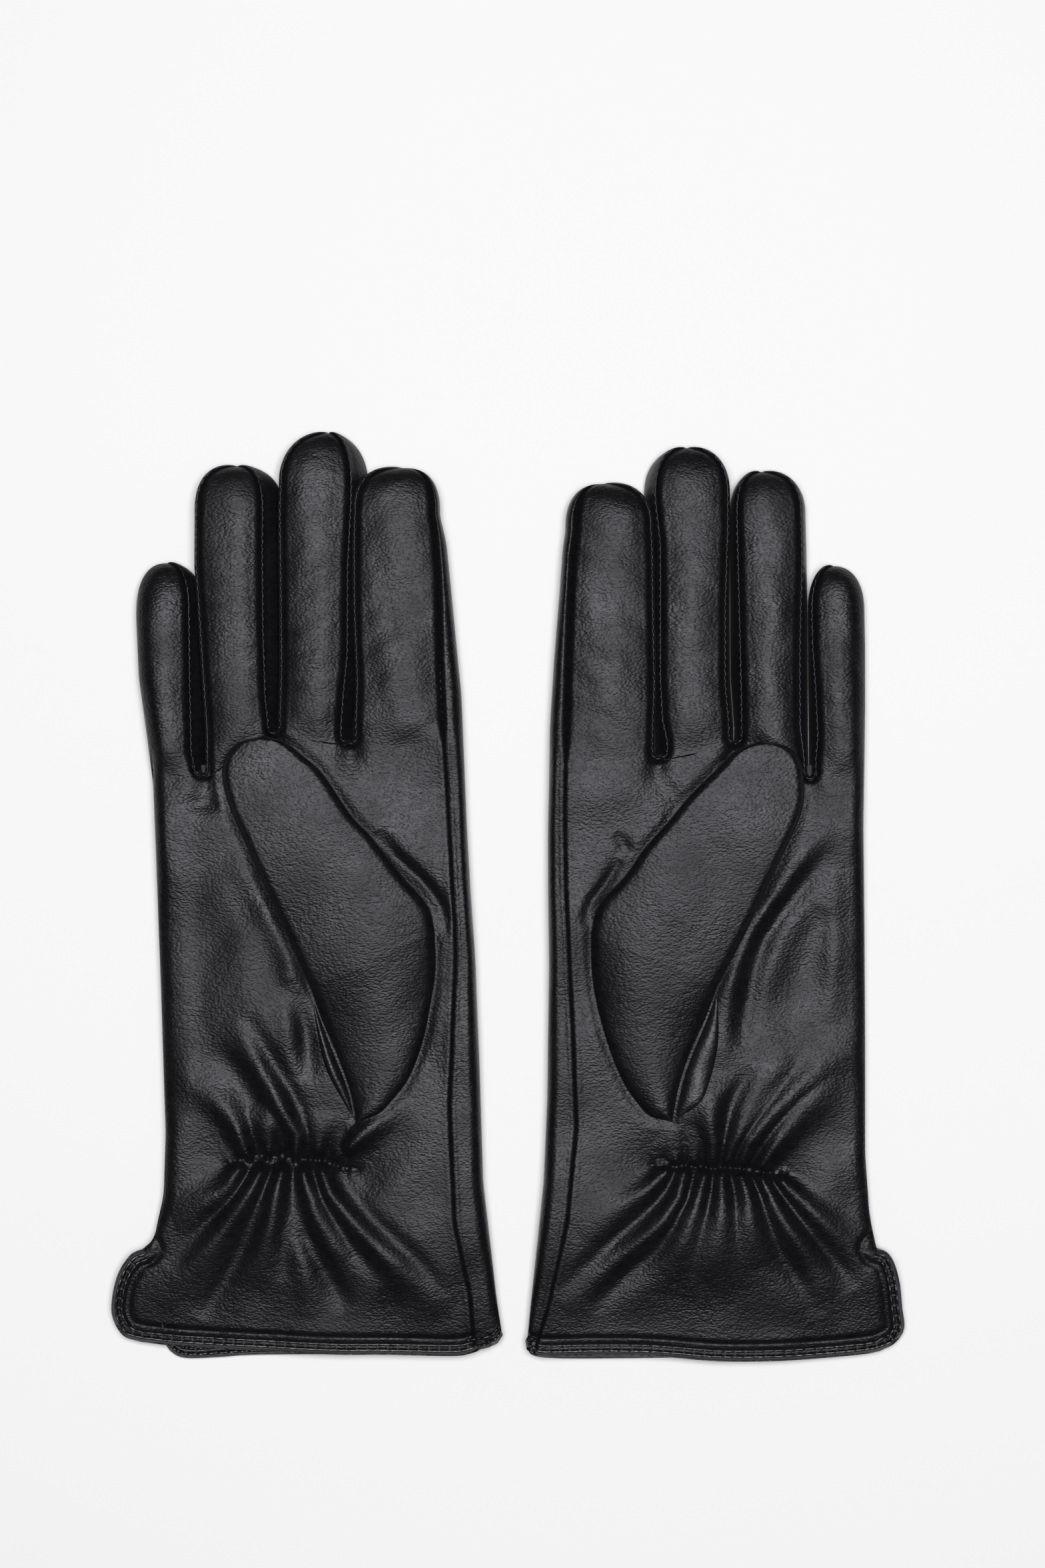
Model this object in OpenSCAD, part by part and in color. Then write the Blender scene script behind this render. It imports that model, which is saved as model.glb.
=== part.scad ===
// A pair of lined leather gloves with a ruched wrist, lying palm up side by side.
// Fingers point to +Y and the palms face +Z. The origin is the bottom centre of the pair.
// Both gloves share one pattern, drawn with x growing from the middle of the pair
// towards the little finger. The right glove is that pattern mirrored.

/* [Materials] */
// Thickness of the outer leather
leather = 0.9; // [0.7:0.1:1.1]
// Thickness of the knitted lining
lining = 0.8; // [0.6:0.1:0.9]
// Thickness of the folded edge binding on each face
binding = 0.6; // [0.4:0.1:0.6]

/* [Hand] */
// Height of the flattened hand
hand_h = 10; // [9.5:0.5:11]
// Width of the edge binding at the hem
binding_w = 5; // [4:0.5:6]
// Width of the elastic that gathers the wrist
elastic_w = 5.5; // [4:0.5:7]
// How much nearer the hem the left glove lies
left_drop = 1.4; // [0:0.1:2]

/* [Fingers] */
// Height of each flattened finger
finger_h = 11; // [10.5:0.5:12]
// Length of the rounded tip as a share of the finger's width
tip_round = 0.5; // [0.4:0.05:0.6]
// Width of the back leather that wraps round onto the palm side of the index finger
index_wrap = 5.4; // [4:0.2:6]
// Tip of the index finger
index_tip = 116.5; // [110:0.5:120]
// Tip of the middle finger
middle_tip = 125.9; // [120:0.1:126]
// Tip of the ring finger
ring_tip = 117.2; // [112:0.2:121]
// Tip of the little finger
little_tip = 91; // [86:0.5:95]

/* [Thumb] */
// Height of the flattened thumb
thumb_h = 10; // [9.5:0.5:11]

/* [Stitching] */
// Distance between the ladder stitches on the binding
stitch_pitch = 2.9; // [2.5:0.1:4]
// Length of a ladder stitch
stitch_l = 2.8; // [2:0.1:3.2]

/* [Hidden] */

gap = 0.3;          // clearance between pieces that move against each other
past = 2;           // how far a cutting shape runs past what it cuts
tip_step = 15;      // degrees between points of a finger tip
straight = 2;       // straight length of a finger's sides at its root
tip_at = 8;         // number of the point in the middle of a finger's tip

black = [0.07, 0.07, 0.08];
black_edge = [0.11, 0.11, 0.12];
knit_grey = [0.2, 0.2, 0.21];
thread_grey = [0.16, 0.16, 0.17];
elastic_grey = [0.3, 0.3, 0.3];

// Each finger: inner and outer x at the root, inner and outer x below the tip, root y, tip y.
// Inner is the thumb's side.
index_f = [12.8, 41.2, 19.5, 40.8, 43.7, index_tip];
middle_f = [41.8, 61.2, 41.8, 61.2, 46.3, middle_tip];
ring_f = [61.8, 83.4, 61.8, 83.4, 46.3, ring_tip];
little_f = [84.0, 96.8, 84.0, 100.8, 35.6, little_tip];

// Edges of the hand, each run with the glove on its left.
front_hem = [[5, -122], [14, -124], [40, -123.8], [66, -123], [88, -122],
             [100, -120.8], [105.2, -118.6], [107.7, -112], [106.5, -104], [103, -97.5], [97.5, -95]];
back_hem = [[1.8, -119.5], [5, -123], [14, -124.2], [50, -124.4], [80, -124.5], [90, -123.5], [94, -120]];
little_edge = [[97.5, -95], [94.5, -84], [93.2, -66], [94, -30], [95.2, 4], [96.8, 31],
               [96.8, little_f[4] - gap]];
vent_edge = [[94, -120], [94.5, -107], [97.5, -95]];
thumb_edge = [[12.6, index_f[4] - gap], [12.6, 38], [10.8, 15], [9, -17], [7.7, -45], [6.6, -77],
              [4.5, -100], [3, -111], [1.8, -119]];
wrap_seam = [[18.1, index_f[4] - gap], [18.1, 38], [16, 15], [14.4, -5], [15.2, -40], [15.4, -70],
             [13.5, -96], [9.5, -114], [5, -122]];

// The finger roots as steps, from the little finger to the index finger.
steps = [[little_f[0] - gap, little_f[4] - gap], [ring_f[1] + gap, ring_f[4] - gap],
         [middle_f[0] - gap, middle_f[4] - gap], [middle_f[0] - gap, index_f[4] - gap]];

// The leather that turns down between the fingers, from each crotch up to the finger roots.
crotches = [
    [[40.5, 39], [42.6, 39], [42.6, 46], [41.5, 46], [41.5, 43.4], [40.5, 43.4]],
    [[60.5, 42], [62.5, 42], [62.5, 46], [60.5, 46]],
    [[82.6, 31], [84.9, 31], [84.9, 35.3], [83.7, 35.3], [83.7, 46], [82.6, 46]],
];

// The set-in thumb: its outline, the hole below it and the gusset beside it.
thumb_little_side = [[41.5, -58], [46.5, -43], [50, -34], [53.5, -24], [60, -9], [67, 6],
                     [74.8, 23], [77, 31], [76.6, 37], [73, 42], [68, 44]];
thumb_index_side = [[68, 44], [62, 43], [55.4, 39], [46.5, 29.4], [36.8, 17], [28, 6], [22, -2],
                    [20.4, -9], [20.2, -20], [22.2, -33], [26.7, -46], [33, -55], [41.5, -58]];
thumb_hole = [[40, -56], [46, -44], [48.4, -34], [50, -26.5], [26, -15.6], [22.6, -19], [23.2, -32],
              [26.5, -43], [32, -50.5]];
gusset_edge = [[50, -26.5], [54, -28], [53.5, -36], [51, -47], [46, -56], [41, -59], [40, -56],
               [46, -44], [48.4, -34]];
// The thumb folds up about a line across it, just past the hole.
thumb_fold_at = [37, -16.6];
thumb_fold_turn = -24.4;

// The elastic crosses the palm at the gathers.
gather_line = [[40, -73.5], [50, -71.8], [60, -71.2], [70, -71.6], [78, -73.5]];

// Heights of the layers.
front_z = hand_h - leather;
lining_top = front_z - 0.7;   // leaves room for the elastic and the inner fold of the binding
thumb_z = hand_h + gap;
skive = leather / 2;          // thickness of the back leather that the binding takes at the hem
skive_w = binding_w - 1;
lining_hem = -115.5;          // the lining ends here, inside the bindings
beyond = 120;                 // more than the size of a glove
elastic_t = 0.6;
elastic_gap = 0.05;
stitch_w = 0.5;
stitch_h = 0.35;
slot_past = 0.2;              // how far the slot of a folded binding runs past its strip

function unit(v) = v / norm(v);
function left_of(v) = [-v[1], v[0]];
function heading(p, i) = unit(p[min(i + 1, len(p) - 1)] - p[max(i - 1, 0)]);
function shifted(p, d) = [for (i = [0:len(p) - 1]) p[i] + d * left_of(heading(p, i))];
function reversed(p) = [for (i = [len(p) - 1:-1:0]) p[i]];
function part_of(p, from, to) = [for (i = [from:to]) p[i]];
function drop_first(p) = part_of(p, 1, len(p) - 1);
function drop_last(p) = part_of(p, 0, len(p) - 2);
// The same for a closed outline, whose last point joins its first.
function ring_shifted(p, d) =
    let (n = len(p))
    [for (i = [0:n - 1]) p[i] + d * left_of(unit(p[(i + 1) % n] - p[(i + n - 1) % n]))];
function band(p, d0, d1) = concat(shifted(p, d0), reversed(shifted(p, d1)));

// A finger's edge: up the outer side, round the tip and down the inner side.
function finger_path(f) =
    let (mid = (f[2] + f[3]) / 2, a = (f[3] - f[2]) / 2, b = 2 * a * tip_round)
    concat(
        [[f[1], f[4]], [f[1], f[4] + straight]],
        [for (t = [0:tip_step:180]) [mid + a * cos(t), f[5] - b + b * sin(t)]],
        [[f[0], f[4] + straight], [f[0], f[4]]]
    );
// A strip along one half of a finger's edge, from its root to the middle of the tip.
function half_band(f, d0, d1, from, to) =
    let (p = finger_path(f))
    concat(part_of(shifted(p, d0), from, to), reversed(part_of(shifted(p, d1), from, to)));
function outer_band(f, d0, d1) = half_band(f, d0, d1, 0, tip_at);
function inner_band(f, d0, d1) = half_band(f, d0, d1, tip_at, len(finger_path(f)) - 1);
function run_on(p) =
    let (n = len(p) - 1)
    concat([p[0] + past * unit(p[0] - p[1])], p, [p[n] + past * unit(p[n] - p[n - 1])]);
function run_out(p, y) = concat([[p[0][0], y]], p, [[p[len(p) - 1][0], y]]);

function palm_outline() = concat(front_hem, drop_first(little_edge), steps, drop_last(wrap_seam));
function back_outline() =
    concat(shifted(back_hem, binding), drop_first(vent_edge), drop_first(little_edge), steps, thumb_edge);

module plate(outline, z, h) translate([0, 0, z]) linear_extrude(h) polygon(outline);
module wall(path, d0, d1, z, h) plate(band(path, d0, d1), z, h);

module right_glove() mirror([1, 0, 0]) children();
module left_glove() translate([0, -left_drop, 0]) children();

// ---- hand ----

module palm_panel() color(black) union() {
    difference() {
        plate(palm_outline(), front_z, leather);
        plate(thumb_hole, front_z - past, leather + 2 * past);
        plate(gusset_edge, front_z - past, leather + 2 * past);
    }
    wall(little_edge, 0, leather, leather, hand_h - leather);
    for (c = crotches) plate(c, leather, hand_h - leather);
}

module back_panel() color(black) union() {
    difference() {
        plate(back_outline(), 0, leather);
        wall(run_on(back_hem), -past, skive_w, -past, past + skive);
    }
    wall(drop_last(thumb_edge), 0, leather, 0, hand_h);
    plate(concat(thumb_edge, reversed(wrap_seam)), front_z, leather);
}

module thumb_gusset() color(black_edge) plate(gusset_edge, front_z, leather);

// A strip folded over the edge of a panel whose leather lies from z to z + h.
module folded_strip(path, z, h, below) color(black_edge) difference() {
    wall(path, -binding, binding_w, z - below, h + below + binding);
    wall(path, 0, binding_w + slot_past, z, h);
}

module front_binding() folded_strip(front_hem, front_z, leather, binding);

module back_binding() color(black_edge) union() {
    wall(back_hem, 0, skive_w, 0, skive);
    wall(back_hem, 0, binding, 0, leather + binding);
    wall(back_hem, 0, binding_w, leather, binding);
}

module wrist_elastic() color(elastic_grey)
    wall(gather_line, -elastic_w / 2, elastic_w / 2, lining_top + elastic_gap, elastic_t);

// The outline of the lining, d inside the edges of the hand, from y = low to y = high.
function lining_outline(d, low, high) =
    let (little = shifted(little_edge, d), thumb = shifted(drop_last(thumb_edge), d))
    concat([[little[0][0] - 3, low]], little, [[little[len(little) - 1][0], high]],
           [[thumb[0][0], high]], thumb, [[thumb[len(thumb) - 1][0], low]]);

// All that lies below the steps where the fingers start.
function below_steps() = concat([[0, lining_hem], [beyond, lining_hem], [beyond, steps[0][1]]], steps,
                                [[0, steps[3][1]]]);

module lining_bag() difference() {
    intersection() {
        plate(lining_outline(leather, lining_hem, beyond), leather, lining_top - leather);
        plate(below_steps(), leather, lining_top - leather);
    }
    plate(lining_outline(leather + lining, lining_hem - past, beyond), leather + lining,
          lining_top - leather - 2 * lining);
    plate(ring_shifted(thumb_hole, lining), lining_top - lining - past / 2, lining + past);
    for (c = crotches) plate(ring_shifted(c, -lining), 0, hand_h);
}

// The short tube that lines the thumb hole, from the hand's lining up to the thumb's.
module thumb_sleeve() difference() {
    union() {
        plate(thumb_hole, lining_top - lining, thumb_z - lining_top + lining);
        intersection() {
            plate(thumb_hole, hand_h, gap + leather + lining);
            plate(ring_shifted(thumb_path, leather), hand_h, gap + leather + lining);
        }
    }
    plate(ring_shifted(thumb_hole, lining), lining_top - lining - past, hand_h);
}

// The lining of the hand, with the sleeve through the thumb hole and the lining of the thumb's base.
module hand_lining() color(knit_grey) union() {
    lining_bag();
    thumb_sleeve();
    difference() {
        thumb_inside();
        past_fold(0);
    }
}

function stitches_on(p) = [
    for (i = [0:len(p) - 2])
        let (run = p[i + 1] - p[i], n = max(1, round(norm(run) / stitch_pitch)))
        for (k = [0:n - 1]) [p[i] + run * (k + 0.5) / n, atan2(run[1], run[0])]
];

module ladder(path, z) for (s = stitches_on(shifted(path, binding_w / 2)))
    translate([s[0][0], s[0][1], z]) rotate([0, 0, s[1]])
        translate([-stitch_w / 2, -stitch_l / 2, 0]) cube([stitch_w, stitch_l, stitch_h]);

module hem_stitching() color(thread_grey) {
    ladder(drop_last(front_hem), hand_h + binding);
    ladder(part_of(back_hem, 2, len(back_hem) - 3), leather + binding);
}

// ---- fingers ----

module face_plate(f, z) plate(finger_path(f), z, leather);

module inner_fourchette(f) color(black_edge)
    plate(inner_band(f, 0, leather), leather, finger_h - 2 * leather);
module outer_fourchette(f) color(black_edge)
    plate(outer_band(f, 0, leather), leather, finger_h - 2 * leather);

module finger_lining(f) color(knit_grey) difference() {
    plate(shifted(finger_path(f), leather), leather, finger_h - 2 * leather);
    plate(run_out(shifted(finger_path(f), leather + lining), f[4] - past), leather + lining,
          finger_h - 2 * leather - 2 * lining);
}

module finger_front(f) color(black) face_plate(f, finger_h - leather);
module finger_back(f) color(black) face_plate(f, 0);

module index_front() color(black) difference() {
    face_plate(index_f, finger_h - leather);
    plate(inner_band(index_f, -past, index_wrap), finger_h - leather - past, leather + 2 * past);
}

module index_back() color(black) union() {
    face_plate(index_f, 0);
    plate(inner_band(index_f, 0, leather), 0, finger_h);
    plate(inner_band(index_f, 0, index_wrap), finger_h - leather, leather);
}

module little_front() color(black) union() {
    face_plate(little_f, finger_h - leather);
    plate(outer_band(little_f, 0, leather), leather, finger_h - leather);
}

// ---- thumb ----

thumb_path = concat(thumb_little_side, drop_last(drop_first(thumb_index_side)));
thumb_tip = len(thumb_little_side) - 1;
thumb_base_at = len(thumb_path);

// The wall of the thumb from one point of its outline to another.
module thumb_wall(from, to, z, h) {
    outside = concat(thumb_path, [thumb_path[0]]);
    inner_ring = ring_shifted(thumb_path, leather);
    inside = concat(inner_ring, [inner_ring[0]]);
    plate(concat(part_of(outside, from, to), reversed(part_of(inside, from, to))), z, h);
}

// All that lies past a line across the thumb, d past the fold.
module past_fold(d)
    translate([thumb_fold_at[0], thumb_fold_at[1], 0]) rotate([0, 0, thumb_fold_turn])
        translate([-beyond / 2, d, -past]) cube(beyond);

module thumb_face() {
    plate(thumb_path, thumb_z + thumb_h - leather, leather);
    thumb_wall(thumb_tip, thumb_base_at, thumb_z + leather, thumb_h - leather);
}

module thumb_underside() {
    difference() {
        plate(thumb_path, thumb_z, leather);
        plate(thumb_hole, thumb_z - past, leather + 2 * past);
    }
    thumb_wall(0, thumb_tip, thumb_z, thumb_h - leather);
}

module thumb_inside() difference() {
    plate(ring_shifted(thumb_path, leather), thumb_z + leather, thumb_h - 2 * leather);
    plate(ring_shifted(thumb_path, leather + lining), thumb_z + leather + lining,
          thumb_h - 2 * leather - 2 * lining);
    plate(ring_shifted(thumb_hole, lining), thumb_z, leather + lining + past / 2);
}

module thumb_front() color(black) intersection() {
    thumb_face();
    past_fold(gap);
}

module thumb_back() color(black) intersection() {
    thumb_underside();
    past_fold(gap);
}

module thumb_lining() color(knit_grey) intersection() {
    thumb_inside();
    past_fold(gap);
}

// The end of the thumb that is set into the palm and stays with it.
module thumb_base() color(black) difference() {
    union() {
        thumb_face();
        thumb_underside();
    }
    past_fold(0);
}

// ---- right glove ----

right_glove() palm_panel();  // right_palm_panel
right_glove() back_panel();  // right_back_panel
right_glove() thumb_gusset();  // right_thumb_gusset
right_glove() front_binding();  // right_front_binding
right_glove() back_binding();  // right_back_binding
right_glove() wrist_elastic();  // right_wrist_elastic
right_glove() hand_lining();  // right_hand_lining
right_glove() hem_stitching();  // right_hem_stitching
right_glove() thumb_base();  // right_thumb_base
right_glove() index_front();  // right_index_front
right_glove() index_back();  // right_index_back
right_glove() outer_fourchette(index_f);  // right_index_fourchette
right_glove() finger_lining(index_f);  // right_index_lining
right_glove() finger_front(middle_f);  // right_middle_front
right_glove() finger_back(middle_f);  // right_middle_back
right_glove() inner_fourchette(middle_f);  // right_middle_inner_fourchette
right_glove() outer_fourchette(middle_f);  // right_middle_outer_fourchette
right_glove() finger_lining(middle_f);  // right_middle_lining
right_glove() finger_front(ring_f);  // right_ring_front
right_glove() finger_back(ring_f);  // right_ring_back
right_glove() inner_fourchette(ring_f);  // right_ring_inner_fourchette
right_glove() outer_fourchette(ring_f);  // right_ring_outer_fourchette
right_glove() finger_lining(ring_f);  // right_ring_lining
right_glove() little_front();  // right_little_front
right_glove() finger_back(little_f);  // right_little_back
right_glove() inner_fourchette(little_f);  // right_little_fourchette
right_glove() finger_lining(little_f);  // right_little_lining
right_glove() thumb_front();  // right_thumb_front
right_glove() thumb_back();  // right_thumb_back
right_glove() thumb_lining();  // right_thumb_lining

// ---- left glove ----

left_glove() palm_panel();  // left_palm_panel
left_glove() back_panel();  // left_back_panel
left_glove() thumb_gusset();  // left_thumb_gusset
left_glove() front_binding();  // left_front_binding
left_glove() back_binding();  // left_back_binding
left_glove() wrist_elastic();  // left_wrist_elastic
left_glove() hand_lining();  // left_hand_lining
left_glove() hem_stitching();  // left_hem_stitching
left_glove() thumb_base();  // left_thumb_base
left_glove() index_front();  // left_index_front
left_glove() index_back();  // left_index_back
left_glove() outer_fourchette(index_f);  // left_index_fourchette
left_glove() finger_lining(index_f);  // left_index_lining
left_glove() finger_front(middle_f);  // left_middle_front
left_glove() finger_back(middle_f);  // left_middle_back
left_glove() inner_fourchette(middle_f);  // left_middle_inner_fourchette
left_glove() outer_fourchette(middle_f);  // left_middle_outer_fourchette
left_glove() finger_lining(middle_f);  // left_middle_lining
left_glove() finger_front(ring_f);  // left_ring_front
left_glove() finger_back(ring_f);  // left_ring_back
left_glove() inner_fourchette(ring_f);  // left_ring_inner_fourchette
left_glove() outer_fourchette(ring_f);  // left_ring_outer_fourchette
left_glove() finger_lining(ring_f);  // left_ring_lining
left_glove() little_front();  // left_little_front
left_glove() finger_back(little_f);  // left_little_back
left_glove() inner_fourchette(little_f);  // left_little_fourchette
left_glove() finger_lining(little_f);  // left_little_lining
left_glove() thumb_front();  // left_thumb_front
left_glove() thumb_back();  // left_thumb_back
left_glove() thumb_lining();  // left_thumb_lining
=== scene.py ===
from math import cos, pi, sin

import bpy
import numpy as np
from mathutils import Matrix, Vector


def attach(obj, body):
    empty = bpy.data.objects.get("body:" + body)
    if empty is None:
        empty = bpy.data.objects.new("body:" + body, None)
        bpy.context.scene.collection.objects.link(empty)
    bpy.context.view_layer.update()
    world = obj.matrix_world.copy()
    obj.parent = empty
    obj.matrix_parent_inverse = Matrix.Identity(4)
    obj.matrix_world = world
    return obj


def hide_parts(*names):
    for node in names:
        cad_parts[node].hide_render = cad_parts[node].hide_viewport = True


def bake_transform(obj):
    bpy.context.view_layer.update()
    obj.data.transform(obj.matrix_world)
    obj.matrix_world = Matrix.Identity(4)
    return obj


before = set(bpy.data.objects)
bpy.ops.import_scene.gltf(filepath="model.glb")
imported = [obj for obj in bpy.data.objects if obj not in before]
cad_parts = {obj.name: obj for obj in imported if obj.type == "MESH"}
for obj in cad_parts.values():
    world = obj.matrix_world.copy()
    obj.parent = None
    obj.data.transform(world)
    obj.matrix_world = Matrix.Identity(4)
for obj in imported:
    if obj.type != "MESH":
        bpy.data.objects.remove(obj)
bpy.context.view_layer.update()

# All shapes are worked out in millimetres in the pattern's own frame: x grows from the middle
# of the pair towards the little finger, y towards the fingertips, z up out of the palm.
MM = 0.001
SIGN = {"right": -1.0, "left": 1.0}

MID_Z = 4.9          # height of the fold along the sides of hand and fingers
FLOOR_Z = 0.25       # underside of the backs, just off the table
PALM_Z = 9.3         # top of the flattened palm
FRONT_Z = 9.0        # fronts of the fingers beside their seams
TOP_SEAM_Z = 8.6     # top seams of the fingers
BACK_SEAM_Z = 2.6    # seams between fourchettes and finger backs
BACK_HEM_Z = 1.8     # the back where its binding lies
STITCH = 2.1         # pitch of the seam stitches
ROW = 0.55           # spacing of the rows of points along a finger
CROTCH_ROUND = 2.6   # radius of the turn at the bottom of a crotch
BORDER_DROP = 5.0    # how far below each crotch the finger pieces start
ROOT_ROWS = 10       # rows of points from there to the crotch
TURN_ROWS = 26       # rows from the crotch until the seams run level
PALM_ROWS = 300      # rows of points from the hem to the fingers, on the palm
BACK_ROWS = 200      # and on the back
EDGE_STEP = 0.25     # spacing of the points an edge is smoothed over
WAVES = 7            # waves in one random unevenness
GATHER_PITS = 14     # dips along the elastic
FULL_RIDGE = 16      # length from which a gather stands at its full height
SIDE_X = 94          # inside of the fold on the little finger's side
HEM_PITCH = 2.8      # pitch of the stitches along the hem
TIE_START = 1.5      # distances in from the hem between which a thread tie lies
TIE_END = 2.7
TIE_RINGS = 5        # rings of points along a tie
TIE_SIDES = 6        # points in a ring
CORNER_LEAN = np.array([0.35, 0.937])   # direction across the binding at the corner by the thumb

# Outlines of the two gloves, as they lie. Each finger: the seams of its front panel on the
# thumb's side (inner) and on the other side (outer), the outer edges of its back, its tip and
# how long the rounded end is.
RIGHT = {
    "crotches": [(42.4, 41.3), (63.3, 44), (81.8, 32.7)],
    "wrap": [(9, -124), (10.5, -107), (14.5, -88), (15.9, -56), (14.2, -15), (15.4, 10), (16.8, 34),
        (17.6, 45)],
    "thumb_side": [(1.6, -119), (3.1, -109), (6.8, -77), (7.8, -45), (8.9, -17), (10.3, 3), (11.2, 19),
        (12, 38), (12.4, 48)],
    "little_side": [(98.9, -95.1), (96, -91.5), (93.5, -80.7), (93, -64), (94.3, -24), (95.7, 13.6),
        (96.4, 31)],
    "hem": [(9, -123.3), (14.8, -124.3), (31.9, -123.9), (49, -123.8), (67.6, -122.9), (88.8, -121.8),
        (99.6, -120.7)],
    "vent": [(99.6, -120.7), (104.5, -119), (107.4, -114.2), (107.6, -109), (105.9, -102.1), (102.5, -96.8),
        (98.9, -95.1)],
    "back_hem": [(1.5, -118.9), (6, -122.6), (30, -124.3), (67.6, -124.6), (78.2, -125.2), (87.6, -125.5),
        (91.7, -123.9), (94.2, -120.5)],
    "corner": [(1.5, -118.7), (2.8, -120.7), (5.6, -122.2), (9.9, -122.9)],
    "index": {
        "inner": [(17.6, 44.7), (18.3, 58.4), (19, 86), (19.9, 99.8), (20.6, 104)],
        "outer": [(40.7, 48), (40.3, 58.4), (41.1, 79), (41.2, 96), (41, 104)],
        "back_inner": [(12.4, 48), (12.7, 55), (15.4, 82.5), (16.8, 96.4), (18.6, 104)],
        "back_outer": [(40, 48), (37.8, 58.4), (37.8, 96), (38, 104)],
        "tip": (28.6, 116.6), "round": 12.6, "square": 2.6},
    "middle": {
        "inner": [(45.7, 46.6), (45.1, 55), (44, 66), (43.9, 90), (43, 107), (42.9, 112)],
        "outer": [(61.2, 50), (60.8, 62), (61.1, 92), (61.3, 104), (61, 112)],
        "back_inner": [(41.9, 46), (40, 58), (39.2, 80), (38.9, 102), (38.2, 112)],
        "back_outer": [(61.4, 50), (58.6, 62), (58.8, 104), (58.6, 112)],
        "tip": (48.8, 126.1), "round": 13.5, "square": 2.1},
    "ring": {
        "inner": [(65.4, 47.4), (66.2, 54), (66.8, 72), (67, 93), (66.9, 104)],
        "outer": [(80.9, 38), (80.9, 44.7), (82.3, 65.4), (83.9, 90), (83.8, 104)],
        "back_inner": [(62, 48), (60.4, 60), (60.6, 93), (61.3, 104)],
        "back_outer": [(80.6, 38), (78.8, 50), (80.6, 72), (81.4, 104)],
        "tip": (73.6, 117.1), "round": 12.5, "square": 2.5},
    "little": {
        "inner": [(85.3, 35.8), (86.2, 39), (86.6, 58), (86.8, 76)],
        "outer": [(96.4, 31), (98.2, 44.7), (100.3, 59.8), (101, 76)],
        "back_inner": [(81.2, 35.5), (80.9, 50), (82.1, 70), (82.7, 76)],
        "tip": (92.6, 90.8), "round": 14, "square": 2.4},
    "thumb_inner_base": [(41.2, -60.8), (34.8, -58.4), (30.7, -54.2), (26.6, -48.5), (23.1, -39.5),
        (20.9, -30), (19.6, -20), (19.8, -9)],
    "thumb_inner": [(19.8, -9), (21.7, -2), (28.5, 6), (36.8, 16.6), (42.4, 22.6), (49.9, 33.6),
        (55.4, 38.6), (60.2, 42.2), (66, 43.9)],
    "thumb_outer_base": [(41.2, -60.8), (43.1, -52), (46.5, -43), (49.9, -34.6), (53.4, -24.4)],
    "thumb_outer": [(53.4, -24.4), (60, -9.4), (67, 6), (71.2, 15.6), (74.9, 24), (77, 32), (76.4, 37.7),
        (72.8, 42), (66, 43.9)],
    "gusset": [(41.2, -61.2), (45.2, -54.4), (49.3, -46.6), (51.4, -38.3), (53, -29)],
    "gather": [(41, -73.4), (44, -73.2), (50, -71.6), (57, -70.6), (67.6, -69.7), (76.5, -72)],
    "ridges": [
        [(73, -73.5), (77.2, -79.4), (82.8, -83), (91, -87)],
        [(67, -74), (70.1, -79.4), (75.7, -87.2), (81.4, -94.9), (89.1, -104), (95, -111)],
        [(61.3, -74), (63.1, -80.9), (64.5, -87.2), (67.3, -96.3), (69, -106)],
        [(55.3, -74.4), (53.9, -80.2), (52.3, -86), (49, -92), (46, -99)],
        [(50.3, -74), (48.3, -79.4), (42, -87.9), (34.9, -95.6), (26.5, -103.4), (17.5, -113)],
        [(70.6, -69.6), (73.6, -61.9), (77.9, -55.5), (84.9, -50.6), (90, -43)],
        [(64.7, -69.2), (65.5, -60), (66.9, -54)],
        [(57.8, -69.6), (57.1, -64), (60.3, -58.3), (64.5, -49.9), (70.1, -41.4), (75.3, -31.8)],
        [(51.4, -68), (51.2, -57.3)],
        [(46.2, -69.4), (44.4, -63.1)],
        [(42.8, -67.2), (35.5, -60.2), (27.6, -53)]],
    "folds": [
        (-1.4, 3, [(57.1, -77), (53.4, -93), (43.3, -112)]),
        (-0.8, 3, [(70.5, -74), (82, -89), (92, -101)]),
        (-1.3, 3, [(64, -76), (69, -90), (77, -104), (84, -114)]),
        (-0.5, 2.4, [(59, -77), (60.5, -90), (61, -104)]),
        (-1, 2.6, [(46, -77), (36, -88), (26, -97), (16.5, -108)]),
        (-1.1, 3, [(50, -80), (43, -92), (33, -104)]),
        (0.6, 3.4, [(56, -92), (55, -102), (54, -114)]),
        (-0.5, 2.2, [(78, 25.8), (83, 25.2), (88.5, 26.2)]),
        (-1.5, 1.9, [(35.5, 18.5), (30.5, 11.5), (22, 3), (17.5, -4), (17, -11)]),
        (0.9, 3.4, [(74, 13), (68.7, 2), (60.5, -13), (58, -25), (59, -38), (56, -48)]),
        (0.4, 3.4, [(90, 22), (88.5, -10), (87.5, -45), (88, -80)]),
        (-1.2, 2.6, [(55, -66), (57.5, -56), (63.5, -45), (71, -31)]),
        (-0.8, 3.6, [(66, -62), (71, -50), (79, -40)]),
        (-1.3, 3.2, [(53.5, -50), (55, -36), (60, -22)]),
        (0.5, 5, [(66, -46), (70, -22), (78, 4)]),
        (-0.4, 6, [(84, -30), (85, -5), (84, 16)])],
}
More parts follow.
